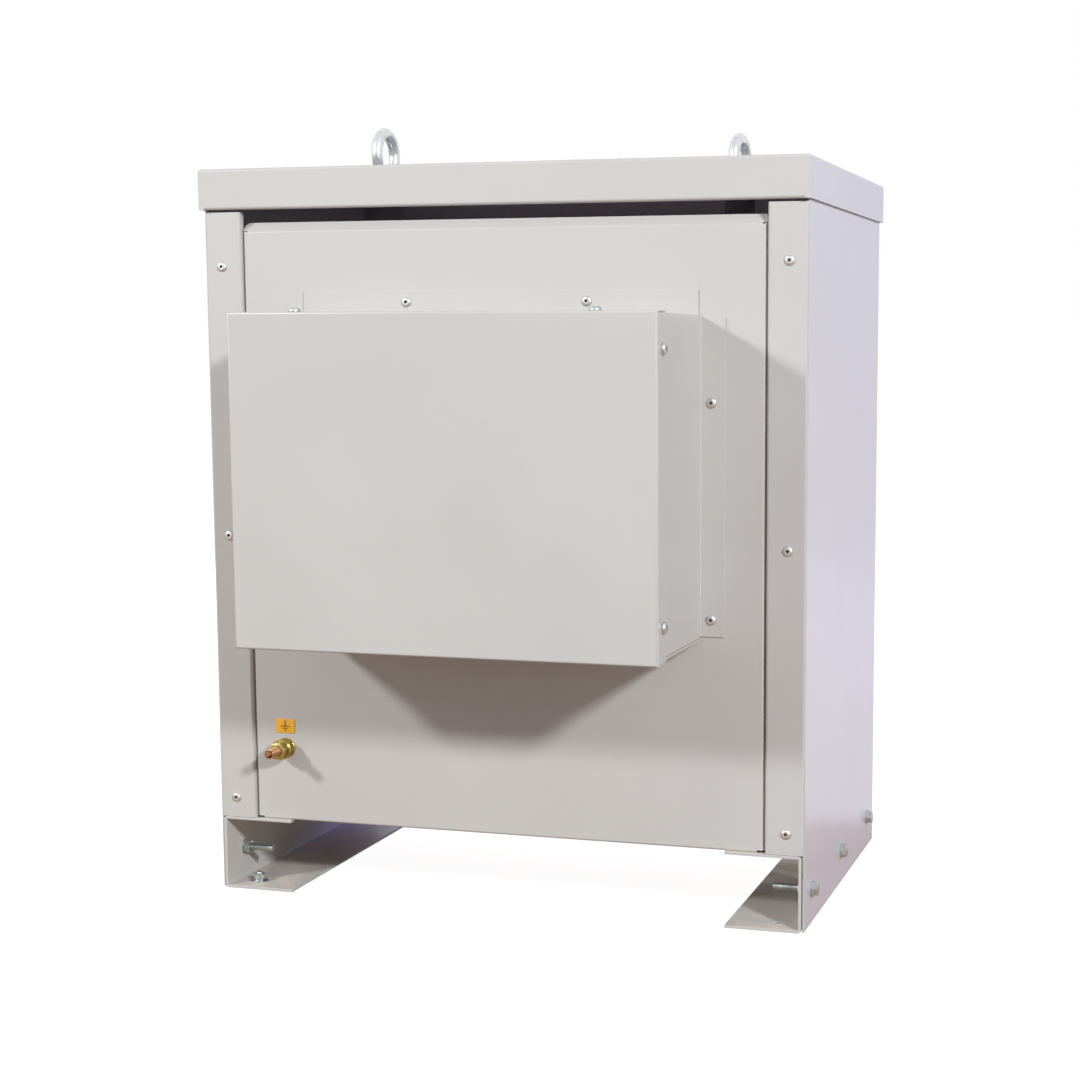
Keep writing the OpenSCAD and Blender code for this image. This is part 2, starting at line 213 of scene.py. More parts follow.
bpy.ops.object.select_all(action="DESELECT")
bpy.ops.mesh.primitive_grid_add(x_subdivisions=8, y_subdivisions=8, size=FLOOR_SIZE,
                                location=(0, 0, -FLOOR_DROP))
floor = bpy.context.object
floor.name = "studio_floor"
floor.data.materials.append(floor_finish)
bpy.ops.object.transform_apply(location=True)
scene.view_settings.view_transform = "Standard"
print(f"room {HORIZON_LEVEL} to {ROOM_LEVEL}, floor {tuple(floor.dimensions)}")

# %% [markdown]
# ## Lamps
# Two soft boxes stand in front, one to each side, and cast the two crossing shadows under the terminal
# box. Two tinted lamps behind keep the back and the sides readable. They light the paint but leave no
# mirror image in it. A very weak lamp under the lid stands for the light that strays in through the
# vents.

# %% Lamps
FRONT, LID = (0, -0.19, 0.27), (0, -0.02, 0.77)
DAYLIGHT = (0.96, 0.99, 1.0)
LAMPS = {
    "soft_box_left": ((-2.78, -2.96, 2.24), FRONT, (0.42, 0.42), 98, DAYLIGHT),
    "soft_box_right": ((3.23, -2.96, 2.26), FRONT, (0.42, 0.42), 144, DAYLIGHT),
    "cool_rear_right": ((1.9, 2.9, 1.5), FRONT, (1.2, 1.4), 70, (0.28, 0.30, 1.0)),
    "warm_rear_left": ((-1.5, 2.8, 1.1), FRONT, (1.6, 0.8), 66, (1.0, 0.96, 0.78)),
    "under_lid": ((0, -0.02, 0.712), LID, (0.52, 0.30), 0.06, (0.9, 0.75, 1.0)),
}
for name, (spot, aim, (width, height), watts, colour) in LAMPS.items():
    lamp = bpy.data.lights.new(name, "AREA")
    lamp.shape, lamp.size, lamp.size_y = "RECTANGLE", width, height
    lamp.energy, lamp.color = watts, colour
    stand = bpy.data.objects.new(name, lamp)
    stand.location = spot
    stand.rotation_euler = (Vector(aim) - Vector(spot)).to_track_quat("-Z", "Y").to_euler()
    stand.visible_camera = False
    stand.visible_glossy = "rear" not in name
    scene.collection.objects.link(stand)
print(f"{len(LAMPS)} lamps")

# %% [markdown]
# ## Powder coat
# The enclosure is powder-coated: a tough light grey film with a slight orange peel and a semi-gloss.
# It could be one colour and one roughness, but a real coat is thinner on folded edges, clouds a little
# over a large sheet, and gathers dust and goes dull where it faces up. The paler edges are partly a
# painted highlight, and the dust colour on faces that look up is partly painted light: painted shade on
# the lid, and a painted brightening on the feet's flanges. Each of these is a mask from
# noise, from the direction of the face, or from the Bevel node, which sees where an edge is near.
# The roughness starts at 0.28: from 0.25, the same fine pattern left pale specks on the side faces.

# %% Paint
PAINT_TONE, PAINT_SHADE = rgb(0.605, 0.588, 0.570), rgb(0.585, 0.567, 0.549)
PAINT_SPECK, CHIP_TONE = rgb(0.30, 0.28, 0.27), rgb(0.33, 0.33, 0.33)
# Edges take a paler tone: a thinner coat, and a painted highlight along every edge.
THIN_EDGE_AND_HIGHLIGHT = rgb(*[channel * 1.09 for channel in PAINT_TONE[:3]])
PAINT_GLOSS = 0.28
# Colours for level faces, over real dust: the lid's is darker as painted shade, the feet's much lighter
# as painted light on their flanges.
LID_DUST_AND_SHADE, FOOT_DUST_AND_LIGHT = rgb(0.47, 0.41, 0.37), rgb(0.80, 0.69, 0.61)


def soft_edge(place, reach):
    """The normal of a face whose edges are rounded as far as reach."""
    return place.node("ShaderNodeBevel", {"samples": 6}, {"Radius": reach})


def near_edge(place, reach):
    """1 on an edge and 0 in the flat: how far the rounded normal turns from the plain one."""
    rounded = soft_edge(place, reach)
    plain = place.node("ShaderNodeNewGeometry", {}, {}, "Normal")
    agree = place.node("ShaderNodeVectorMath", {"operation": "DOT_PRODUCT"},
                       {0: rounded, 1: plain}, "Value")
    return (1 - agree).stretch(0.01, 0.22)


def facing_up(place):
    """1 on level faces and 0 on steep ones."""
    plain = place.node("ShaderNodeNewGeometry", {}, {}, "Normal")
    return place.node("ShaderNodeSeparateXYZ", {}, {0: plain}, "Z").stretch(0.8, 0.97)


def powder_coat(name, dust_and_light_tone, dust_and_light_share, settled):
    """Light grey paint. Where it faces up, settled is what dulling adds to its roughness."""
    finish, place = new_finish(name)
    cloud = place.noise(7.0, 3.0).stretch(0.3, 0.7)
    fine = place.noise(310.0, 2.0)
    peel = place.noise(430.0, 2.0)
    wave = place.noise(5.5, 1.0)
    edge = near_edge(place, 1.4 * MM)
    level = facing_up(place)
    # Level faces take the dust colour: real dust, and also painted shade on the lid and painted light on
    # the feet.
    dust_and_light = level * place.noise(38.0, 5.0).stretch(0.25, 0.65) * dust_and_light_share
    body = cloud.tint(PAINT_TONE, PAINT_SHADE)
    body = (fine.stretch(0.62, 0.8) * 0.05).tint(body, PAINT_SPECK)
    # Paler along the edges: thinner coat and painted highlight.
    body = (edge * 0.5).tint(body, THIN_EDGE_AND_HIGHLIGHT)
    chips = edge * (place.noise(95.0, 4.0) > 0.70) * 0.55
    body = chips.tint(body, CHIP_TONE)
    waved = bump(wave, 0.5, 0.3 * MM, Normal=soft_edge(place, 0.5 * MM))
    surface(place,
            Base_Color=dust_and_light.tint(body, dust_and_light_tone),
            Roughness=PAINT_GLOSS + fine * 0.04 + level * settled + dust_and_light * 0.35 + chips * 0.2,
            Normal=bump(peel, 0.05, 0.05 * MM, Normal=waved),
            IOR=1.4)
    return finish


paint = powder_coat("enclosure_paint", LID_DUST_AND_SHADE, 0.35, 0.5)
foot_paint = powder_coat("foot_paint", FOOT_DUST_AND_LIGHT, 0.75, 0.0)
print("made", paint.name, foot_paint.name)

# %% [markdown]
# ## Plated and bare metals
# Bolts, screws, rivets and the lifting eyes are zinc-plated: a cool silver film, cloudy and a little
# uneven in its gloss. The earth stud is bare brass that has warmed to copper, and its nuts are brass
# with a green-yellow cast. All are full metals, so their colour goes into Base Color, and the noise
# mostly moves their roughness, which is what the eye reads as plating.

# %% Metals
def plated(name, bright, dull, gloss, spread, lumps):
    finish, place = new_finish(name)
    cloud = place.noise(260.0, 3.0).stretch(0.3, 0.72)
    grain = place.noise(1900.0, 2.0)
    surface(place,
            Base_Color=cloud.tint(bright, dull),
            Metallic=1.0,
            Roughness=gloss + cloud * spread + grain * 0.08,
            Normal=bump(grain, 0.15, 0.03 * MM, Normal=bump(place.noise(170.0), 0.35, lumps)))
    return finish


zinc = plated("zinc_plating", rgb(0.60, 0.64, 0.63), rgb(0.45, 0.49, 0.48), 0.26, 0.14, 0.05 * MM)
forged_zinc = plated("forged_zinc", rgb(0.78, 0.80, 0.82), rgb(0.62, 0.64, 0.65), 0.20, 0.14, 0.5 * MM)
aluminium = plated("rivet_aluminium", rgb(0.62, 0.62, 0.62), rgb(0.52, 0.52, 0.52), 0.40, 0.12, 0.05 * MM)
# Near black: the steel of the broken pin, darkened as painted shade for the rivet's hollow.
pin_and_hole_shade = plated("rivet_pin_and_hole_shade", rgb(0.17, 0.16, 0.15), rgb(0.09, 0.09, 0.09), 0.50, 0.15, 0.05 * MM)
stud_brass = plated("stud_brass", rgb(0.52, 0.31, 0.17), rgb(0.38, 0.21, 0.12), 0.28, 0.14, 0.05 * MM)
nut_brass = plated("nut_brass", rgb(0.52, 0.44, 0.17), rgb(0.38, 0.31, 0.10), 0.26, 0.14, 0.05 * MM)
print("made", zinc.name, forged_zinc.name, stud_brass.name, nut_brass.name)

# %% [markdown]
# ## Core, windings and clamps
# The working parts show only through the vent and from below. The core is a stack of thin steel sheets
# on edge, so its pattern is fine lines that follow the stack from front to back. The coils are wound
# turn on turn and dipped in resin varnish: bands up the height with a glossy brown coat. The clamps and
# lifting posts are grey primed bars.

# %% Inner finishes
def banded(place, axis, pitch):
    """A triangle wave along one axis: 0 at each line and 1 half a pitch away."""
    along = place.node("ShaderNodeSeparateXYZ", {}, {0: place}, axis) * (1 / pitch)
    return along.node("ShaderNodeMath", {"operation": "PINGPONG"}, {0: along, 1: 0.5}) * 2


core_steel, place = new_finish("core_laminations")
sheets = banded(place, "Y", 1.1 * MM)
stain = place.noise(24.0, 4.0).stretch(0.35, 0.7)
surface(place,
        Base_Color=(sheets.stretch(0.0, 0.45) * 0.75 + 0.25).tint(
            rgb(0.012, 0.011, 0.011), stain.tint(rgb(0.065, 0.062, 0.060), rgb(0.050, 0.040, 0.033))),
        Roughness=0.42 + stain * 0.2,
        Metallic=0.4,
        Normal=bump(sheets, 0.5, 0.15 * MM))

winding, place = new_finish("varnished_winding")
turns = banded(place, "Z", 4.6 * MM)
runs = place.noise(60.0, 3.0).stretch(0.3, 0.75)
surface(place,
        Base_Color=(turns.stretch(0.0, 0.4) * 0.8 + 0.2).tint(
            rgb(0.030, 0.012, 0.008), runs.tint(rgb(0.16, 0.065, 0.030), rgb(0.105, 0.042, 0.022))),
        Roughness=0.30 + runs * 0.15,
        Coat_Weight=0.5,
        Normal=bump(turns.stretch(0.0, 0.9), 0.8, 0.7 * MM))

clamp_steel, place = new_finish("primed_steel")
mill = place.noise(45.0, 4.0).stretch(0.3, 0.7)
speck = place.noise(700.0, 1.0)
surface(place,
        Base_Color=mill.tint(rgb(0.175, 0.175, 0.172), rgb(0.140, 0.138, 0.135)),
        Roughness=0.55 + speck * 0.15,
        Normal=bump(speck, 0.3, 0.05 * MM))
print("made", core_steel.name, winding.name, clamp_steel.name)

# %% [markdown]
# ## Dressing the CAD sheets
# The sheets come from CAD with true bends but knife-sharp cut edges. Laser-cut and painted sheet has a
# small rounding, and that rounding draws the thin bright lines along every fold and seam. A Weld joins
# the loose triangles, a Bevel rounds the edges sharper than a fold's own facets, and Weighted Normals
# keep the wide flats flat. The CAD mesh itself stays as it is: these are only modifiers on top.

# %% Finishes and edges for the CAD nodes
FINISHES = {"paint": paint, "foot_paint": foot_paint, "zinc": forged_zinc, "brass": nut_brass,
            "core_steel": core_steel, "winding": winding, "clamp_steel": clamp_steel}
EDGE = {"paint": 0.40, "foot_paint": 0.45, "clamp_steel": 0.6}


def round_edges(node, width):
    weld = node.modifiers.new("join_triangles", "WELD")
    weld.merge_threshold = 0.005 * MM
    flats = node.modifiers.new("whole_flats", "DECIMATE")
    flats.decimate_type, flats.angle_limit = "DISSOLVE", radians(0.5)
    bevel = node.modifiers.new("rounded_edges", "BEVEL")
    bevel.width, bevel.segments = width, 2
    bevel.limit_method, bevel.angle_limit = "ANGLE", radians(40)
    node.modifiers.new("flat_faces", "WEIGHTED_NORMAL").keep_sharp = False


slot_of = {part["node"]: part["material_slot"] for part in frame["record"]["subparts"]}
for name, node in frame["nodes"].items():
    node.material_slots[0].material = FINISHES[slot_of[name]]
    if slot_of[name] in EDGE:
        round_edges(node, EDGE[slot_of[name]] * MM)
print("rounded", sum(slot in EDGE for slot in slot_of.values()), "of", len(slot_of), "nodes")

# %% [markdown]
# ## Turning on the lathe
# Rivets, washers and screw heads are round, so on the bench they are turned. In Blender the same is a
# half-section drawn vertex by vertex and spun about its axis. A primitive cylinder with bevels would do
# for a washer, but not for a domed head with a hole, so one lathe serves them all. It stands on z = 0
# with its outer end up, ready to be set on a face.

# %% Lathe
def drop_selection():
    bpy.ops.object.select_all(action="DESELECT")


def lathe(name, section, steps=32):
    """Spin a half-section, given as radius and height in millimetres, about the Z axis."""
    drop_selection()
    bpy.ops.mesh.primitive_plane_add(size=MM)
    bpy.context.object.name = name
    bpy.ops.object.mode_set(mode="EDIT")
    bpy.ops.mesh.select_all(action="SELECT")
    bpy.ops.mesh.merge(type="CENTER")
    radius, height = section[0]
    bpy.ops.transform.translate(value=(radius * MM, 0, height * MM))
    for next_radius, next_height in section[1:]:
        step = ((next_radius - radius) * MM, 0, (next_height - height) * MM)
        bpy.ops.mesh.extrude_vertices_move(TRANSFORM_OT_translate={"value": step})
        radius, height = next_radius, next_height
    bpy.ops.mesh.select_all(action="SELECT")
    bpy.ops.mesh.spin(steps=steps, angle=2 * pi, center=(0, 0, 0), axis=(0, 0, 1))
    bpy.ops.mesh.select_all(action="SELECT")
    bpy.ops.mesh.remove_doubles(threshold=0.002 * MM)
    bpy.ops.mesh.normals_make_consistent(inside=False)
    bpy.ops.object.mode_set(mode="OBJECT")
    return bpy.context.object


def washer_section(inner, outer, thick, soft=0.25):
    """Half-section of a flat ring with softened outer edges."""
    return [(inner, 0), (outer - soft, 0), (outer, soft), (outer, thick - soft), (outer - soft, thick),
            (inner + soft, thick), (inner, thick - soft), (inner, 0)]


def only(piece):
    drop_selection()
    piece.select_set(True)
    bpy.context.view_layer.objects.active = piece


def carve(piece, cutter, operation):
    """Cut one shape by another and throw the cutter away."""
    only(piece)
    bpy.ops.object.modifier_add(type="BOOLEAN")
    cut = piece.modifiers[-1]
    cut.operation, cut.solver, cut.object = operation, "EXACT", cutter
    bpy.ops.object.modifier_apply(modifier=cut.name)
    bpy.data.objects.remove(cutter)
    return piece


def together(name, pieces):
    """Join loose parts of one fitting into a single piece."""
    only(pieces[0])
    for piece in pieces:
        piece.select_set(True)
    if len(pieces) > 1:
        bpy.ops.object.join()
    bpy.context.object.name = bpy.context.object.data.name = name
    return bpy.context.object


def lift(piece, height):
    """Move a part up its own axis, in millimetres, and fix it there."""
    only(piece)
    bpy.ops.transform.translate(value=(0, 0, height * MM))
    bpy.ops.object.transform_apply(location=True, rotation=True, scale=True)
    return piece


TOWARDS = {"front": (pi / 2, 0, 0), "back": (-pi / 2, 0, 0), "right": (0, pi / 2, 0),
           "left": (0, -pi / 2, 0), "up": (0, 0, 0), "down": (pi, 0, 0)}


def set_out(name, master, spots):
    """Copies of a fitting, each with its own mesh, on faces given as place (mm), side and spin."""
    copies = []
    for place, side, spin in spots:
        only(master)
        bpy.ops.object.duplicate()
        one = bpy.context.object
        one.rotation_mode = "XYZ"
        one.rotation_euler = (0, 0, spin)
        bpy.ops.object.transform_apply(location=True, rotation=True, scale=True)
        one.rotation_euler = TOWARDS[side]
        one.location = Vector(place) * MM
        bpy.ops.object.transform_apply(location=True, rotation=True, scale=True)
        copies.append(one)
    return together(name, copies)


def fit(piece, finish, slot, *nodes, smooth=35):
    """Paint a piece, fix it to the body, and hide the CAD nodes that it stands for."""
    only(piece)
    bpy.ops.object.shade_smooth_by_angle(angle=radians(smooth))
    if not piece.data.materials:
        piece.data.materials.append(finish)
    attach(piece, "root")
    if nodes:
        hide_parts(*nodes)
    faces = len(piece.data.polygons)
    print(f"{piece.name}: {faces} faces, {tuple(round(d / MM, 1) for d in piece.dimensions)} mm")
    return piece


# %% [markdown]
# ## Blind rivets
# The posts and the flanges of the terminal box are held by blind rivets: a low aluminium dome with a
# small hole where the pulled pin broke off. The dome and the hole are one half-section. The back of the
# enclosure repeats the front, so the posts there carry the same rivets.

# %% Rivets
POST_X, POST_Y = 306, 200
POST_RIVETS = (673, 388.5, 102)
FLANGE_Y, FLANGE_SIDE, FLANGE_TOP_Z = -198, 227, 635
FLANGE_TOP_X, FLANGE_SIDE_Z = 97.7, (534, 316.5)
PIN_HOLE = 1.5
rivet = lathe("rivet", [(0, 0), (5.2, 0), (5.3, 0.3), (5.0, 1.0), (4.2, 1.65), (3.1, 2.1), (2.2, 2.2),
                        (1.7, 2.05), (PIN_HOLE, 1.75), (PIN_HOLE - 0.05, 0.3), (0, 0.35)], 28)
rivet.data.materials.append(aluminium)
rivet.data.materials.append(pin_and_hole_shade)
# The hole's wall and floor take the dark pin finish: painted shade in the hollow, over the pin's steel.
for face in rivet.data.polygons:
    if all(Vector(rivet.data.vertices[v].co[:2]).length < (PIN_HOLE + 0.02) * MM for v in face.vertices):
        face.material_index = 1 if face.center.z > 0.1 * MM else 0
front = [((s * POST_X, -POST_Y, z), "front", s * z) for s in (-1, 1) for z in POST_RIVETS]
back = [((s * POST_X, POST_Y, z), "back", s * z) for s in (-1, 1) for z in POST_RIVETS]
flange = [((s * FLANGE_TOP_X, FLANGE_Y, FLANGE_TOP_Z), "front", s) for s in (-1, 1)]
flange += [((s * FLANGE_SIDE, FLANGE_Y, z), "front", z) for s in (-1, 1) for z in FLANGE_SIDE_Z]
for name, spots in (("post_rivets_front", front), ("post_rivets_back", back), ("box_rivets", flange)):
    fit(set_out(name, rivet, spots), aluminium, "zinc")
bpy.data.objects.remove(rivet)

# %% [markdown]
# ## Cover screws
# The terminal-box cover is a shallow tray over the box, held by pan-head screws through its edges: two
# on each side and two on top. A pan head is turned like a rivet, and its cross recess is then cut by two
# thin bars. A picture of a cross would stay flat in a close view, so it is cut for real.

# %% Pan-head screws
COVER_SIDE, COVER_TOP, COVER_SCREW_Y = 217.9, 622.97, -341
SIDE_SCREW_Z, TOP_SCREW_X = (588, 328.5), 153
RECESS = (6.4, 1.25, 3.4)


def pan_head():
    """A domed screw head with a cross recess."""
    head = lathe("screw", [(0, -0.6), (5.6, -0.6), (5.9, 0.0), (6.0, 0.4), (6.0, 1.7), (5.6, 2.7),
                           (4.7, 3.45), (3.2, 3.9), (1.5, 4.05), (0, 4.1)], 40)
    for turn in (0, pi / 2):
        drop_selection()
        bpy.ops.mesh.primitive_cube_add(size=1, location=(0, 0, 3.6 * MM), rotation=(0, 0, turn))
        bar = bpy.context.object
        bar.scale = Vector(RECESS) * MM
        bpy.ops.object.transform_apply(location=True, rotation=True, scale=True)
        bpy.ops.object.mode_set(mode="EDIT")
        bpy.ops.mesh.select_all(action="SELECT")
        bpy.ops.mesh.bevel(offset=0.25 * MM, segments=2)
        bpy.ops.object.mode_set(mode="OBJECT")
        carve(head, bar, "DIFFERENCE")
    return head


screw = pan_head()
spots = [((s * COVER_SIDE, COVER_SCREW_Y, z), "right" if s > 0 else "left", 0.5 + z)
         for s in (-1, 1) for z in SIDE_SCREW_Z]
spots += [((s * TOP_SCREW_X, COVER_SCREW_Y, COVER_TOP), "up", 0.3 + s) for s in (-1, 1)]
fit(set_out("cover_screws", screw, spots), zinc, "zinc")
bpy.data.objects.remove(screw)

# %% [markdown]
# ## Hexagons and threads
# A hexagon is a six-sided cylinder whose corners a chamfer cone trims, which leaves the curved edges of
# a real head. A thread is one tooth drawn on edge and wound up the axis by the Screw modifier, then
# sawn flat at both ends and pointed a little at its free end.

# %% Hexagons and threads
def hexagon(name, across, height, both_ends):
    """A bolt head, or a nut if both ends are chamfered; sizes in millimetres."""
    corner = across / 2 / cos(pi / 6)
    drop_selection()
    bpy.ops.mesh.primitive_cylinder_add(vertices=6, radius=corner * MM, depth=height * MM,
                                        location=(0, 0, height / 2 * MM))
    head = bpy.context.object
    head.name = name
    bpy.ops.object.transform_apply(location=True)
    rim, fall = 0.475 * across, tan(pi / 6)
    wide = corner + 2
    lower = [(0, -1), (rim - 1 / fall, -1), (wide, (wide - rim) * fall)]
    plain = [(0, -1), (wide, -1)]
    upper = [(wide, height - (wide - rim) * fall), (rim - 1 / fall, height + 1), (0, height + 1)]
    return carve(head, lathe("chamfer", (lower if both_ends else plain) + upper, 48), "INTERSECT")


def nut(across, height, bore):
    """A hexagon with a bore, given as its radius, that is countersunk at both ends."""
    body = hexagon("nut", across, height, True)
    sink = 0.9
    hole = [(0, -1), (bore + sink + 1, -1), (bore, sink),
            (bore, height - sink), (bore + sink + 1, height + 1), (0, height + 1)]
    return carve(body, lathe("bore", hole, 40), "DIFFERENCE")


def thread(size, pitch, length, steps=24):
    """A threaded bar from z = 0 up to its chamfered end; sizes in millimetres."""
    depth = 0.58 * pitch
    drop_selection()
    bpy.ops.mesh.primitive_plane_add(size=MM)
    bar = bpy.context.object
    bpy.ops.object.mode_set(mode="EDIT")
    bpy.ops.mesh.select_all(action="SELECT")
    bpy.ops.mesh.merge(type="CENTER")
    bpy.ops.transform.translate(value=((size / 2 - depth) * MM, 0, -2 * pitch * MM))
    flanks = ((0.10, 0.0), (0.35, depth), (0.20, 0.0), (0.35, -depth))
    for rise, out in flanks:
        step = (out * MM, 0, rise * pitch * MM)
        bpy.ops.mesh.extrude_vertices_move(TRANSFORM_OT_translate={"value": step})
    bpy.ops.object.mode_set(mode="OBJECT")
    bpy.ops.object.modifier_add(type="SCREW")
    winding_up = bar.modifiers[-1]
    winding_up.screw_offset, winding_up.iterations = pitch * MM, int(length / pitch) + 4
    winding_up.steps = winding_up.render_steps = steps
    winding_up.use_merge_vertices, winding_up.merge_threshold = True, 0.002 * MM
    bpy.ops.object.modifier_apply(modifier=winding_up.name)
    bpy.ops.object.mode_set(mode="EDIT")
    for height, way in ((0, -1), (length, 1)):
        bpy.ops.mesh.select_all(action="SELECT")
        bpy.ops.mesh.bisect(plane_co=(0, 0, height * MM), plane_no=(0, 0, way),
                            use_fill=True, clear_outer=True)
    bpy.ops.mesh.select_all(action="SELECT")
    bpy.ops.mesh.remove_doubles(threshold=0.002 * MM)
    bpy.ops.mesh.normals_make_consistent(inside=False)
    bpy.ops.object.mode_set(mode="OBJECT")
    point = lathe("point", [(0, -1), (size, -1), (size, length - size / 2 - 1 + depth * 1.2),
                            (size / 2 - depth * 1.2 - 1, length + 1), (0, length + 1)], 40)
    return carve(bar, point, "INTERSECT")


print("hexagons and threads are ready")

# %% [markdown]
# ## Foot bolts
# The feet are bolted through the side panels: head and washer outside, then a washer, a nut and a
# length of bare thread inside the channel. A fitter leaves every head at another turn, so the spin of
# each copy follows from its place.

# %% Foot bolts
BOLT, ACROSS, HEAD_HIGH, BOLT_NUT_HIGH, BOLT_PITCH, BOLT_BORE = 8, 13, 5.3, 6.5, 1.25, 3.5
BOLT_WASHER = 1.6
PANEL_OUT, WEB_IN, THREAD_END = 325, 319.2, 284.5
FOOT_BOLT_Y, FOOT_BOLT_Z = (-160, 0, 160), 36.5
ring = washer_section(4.2, 8.5, BOLT_WASHER)
outside = together("bolt_head", [lathe("washer", ring),
                                 lift(hexagon("head", ACROSS, HEAD_HIGH, False), BOLT_WASHER)])
inside = together("bolt_end", [lathe("washer", ring),
                               lift(nut(ACROSS, BOLT_NUT_HIGH, BOLT_BORE), BOLT_WASHER),
                               thread(BOLT, BOLT_PITCH, WEB_IN - THREAD_END)])
heads = [((s * PANEL_OUT, y, FOOT_BOLT_Z), "right" if s > 0 else "left", 0.4 + 0.01 * y + s)
         for s in (-1, 1) for y in FOOT_BOLT_Y]
ends = [((s * WEB_IN, y, FOOT_BOLT_Z), "left" if s > 0 else "right", 0.9 + 0.007 * y + s)
        for s in (-1, 1) for y in FOOT_BOLT_Y]
fit(set_out("foot_bolt_heads", outside, heads), zinc, "zinc")
fit(set_out("foot_bolt_nuts", inside, ends), zinc, "zinc")
for master in (outside, inside):
    bpy.data.objects.remove(master)

# %% [markdown]
# ## Floor fixing
# One fixing stands in the front hole of the left foot: a stud from the floor with a washer, a spring
# ring, a nut and a little of the stud's rounded end. The other holes are free. Washers and ring are
# turned, and the nut is the same hexagon as on the feet, one size smaller.

# %% Floor fixing
FLANGE_TOP = 3
FIXING_X, FIXING_Y = -293, -177
WASHER_TOP, RING_TOP = 1.6, 3.5
STUD_SECTION = [(0, 0), (3.2, 0), (3.5, 0.3), (3.5, 12.6), (3.1, 13.4), (1.9, 13.9), (0, 14)]
stack = [lathe("washer", washer_section(3.7, 9.5, WASHER_TOP)),
         lift(lathe("ring", washer_section(3.7, 5.9, 1.9, 0.4)), WASHER_TOP),
         lift(nut(11, 5.6, 3.2), RING_TOP),
         lift(lathe("stud", STUD_SECTION), -FLANGE_TOP)]
fixing = together("floor_fixing", stack)
fixing_spot = ((FIXING_X, FIXING_Y, FLANGE_TOP), "up", 0.35)
fit(set_out("left_floor_fixing", fixing, [fixing_spot]), zinc, "zinc")
bpy.data.objects.remove(fixing)

# %% [markdown]
# ## Earth stud
# The earth stud is a length of threaded brass through the front panel, locked by a nut behind it and by
# two nuts with washers in front, between which a cable lug is clamped. The CAD keeps it as plain rods.
# Here it gets its thread, chamfered nuts and softened washers, in the same places as the CAD solids.

# %% Stud, nuts and washers
STUD_X, STUD_Z, PANEL_FACE = -247, 159.5, -196.5
STUD_TIP, STUD_TAIL = 41.5, -15.5
STUD, STUD_PITCH = 10, 1.5
NUT_ACROSS, NUT_HIGH, WASHER_HIGH = 17, 8, 2
WASHERS_AT = (0, 10, 12, -3.5)
NUTS_AT = {2: 12, 14: 40, -11.5: 0}
bar = lift(thread(STUD, STUD_PITCH, STUD_TIP - STUD_TAIL, 28), STUD_TAIL)
stud = set_out("earth_stud_thread", bar, [((STUD_X, PANEL_FACE, STUD_Z), "front", 0.6)])
fit(stud, stud_brass, "brass", "earth_stud", smooth=28)
bpy.data.objects.remove(bar)

stack = []
for height in WASHERS_AT:
    stack.append(lift(lathe("washer", washer_section(5.3, 11, WASHER_HIGH, 0.35), 40), height))
for height, turn in NUTS_AT.items():
    one = lift(nut(NUT_ACROSS, NUT_HIGH, 4.5), height)
    one.rotation_euler = (0, 0, radians(turn))
    only(one)
    bpy.ops.object.transform_apply(rotation=True)
    stack.append(one)
stack = together("stack", stack)
nuts = set_out("earth_stud_nuts_and_washers", stack, [((STUD_X, PANEL_FACE, STUD_Z), "front", 0)])
fit(nuts, nut_brass, "brass", "earth_stud_nuts")
bpy.data.objects.remove(stack)

# %% [markdown]
# ## Earth sign
# Beside the stud a small yellow plate carries the earth symbol: a stem and three bars, each shorter than
# the one above. The plate is a block with rounded corners, and the symbol is raised dark bars on it.
# The symbol could be painted by a mask, but real bars keep sharp edges at any distance.

# %% Sign
sign_yellow, place = new_finish("sign_yellow")
fade = place.noise(120.0, 3.0).stretch(0.3, 0.7)
surface(place, Base_Color=fade.tint(rgb(0.98, 0.50, 0.025), rgb(0.93, 0.45, 0.03)),
        Roughness=0.32 + fade * 0.12, Normal=bump(place.noise(500.0), 0.2, 0.03 * MM))
sign_black, place = new_finish("sign_black")
rub = place.noise(300.0, 3.0).stretch(0.35, 0.7)
surface(place, Base_Color=rub.tint(rgb(0.045, 0.028, 0.012), rgb(0.085, 0.048, 0.016)),
        Roughness=0.45 + rub * 0.15)


def block(name, size, round_by, soften):
    """A plate on z = 0 with rounded upright corners and a softened top rim; sizes in millimetres."""
    drop_selection()
    bpy.ops.mesh.primitive_cube_add(size=1, location=(0, 0, 0.5))
    plate = bpy.context.object
    plate.name = name
    bpy.ops.object.transform_apply(location=True)
    plate.scale = Vector(size) * MM
    bpy.ops.object.transform_apply(scale=True)
    bpy.ops.object.mode_set(mode="EDIT")
    bpy.ops.mesh.select_mode(type="EDGE")
    shape = bmesh.from_edit_mesh(plate.data)
    for edge in shape.edges:
        edge.select_set(abs(edge.verts[0].co.z - edge.verts[1].co.z) > size[2] * MM / 2)
    bmesh.update_edit_mesh(plate.data)
    bpy.ops.mesh.bevel(offset=round_by * MM, segments=4)
    bpy.ops.mesh.select_all(action="DESELECT")
    shape = bmesh.from_edit_mesh(plate.data)
    for edge in shape.edges:
        edge.select_set(all(v.co.z > size[2] * MM * 0.9 for v in edge.verts))
    bmesh.update_edit_mesh(plate.data)
    bpy.ops.mesh.bevel(offset=soften * MM, segments=2)
    bpy.ops.object.mode_set(mode="OBJECT")
    return plate


SIGN_X, SIGN_Z = -247.2, 183.5
SIGN_WIDE, SIGN_HIGH, SIGN_THICK = 22.2, 15.3, 0.8
BAR_THICK, BAR_SUNK = 0.3, 0.1
# Width, height and middle of the stem and of the three bars below it
SYMBOL = ((1.1, 6.2, 3.0), (11.2, 0.85, -0.3), (6.4, 0.85, -2.5), (2.4, 0.85, -4.6))
plate = block("plate", (SIGN_WIDE, SIGN_HIGH, SIGN_THICK), 0.8, 0.2)
fit(set_out("earth_sign_plate", plate, [((SIGN_X, PANEL_FACE, SIGN_Z), "front", 0)]), sign_yellow, "sign")
bpy.data.objects.remove(plate)

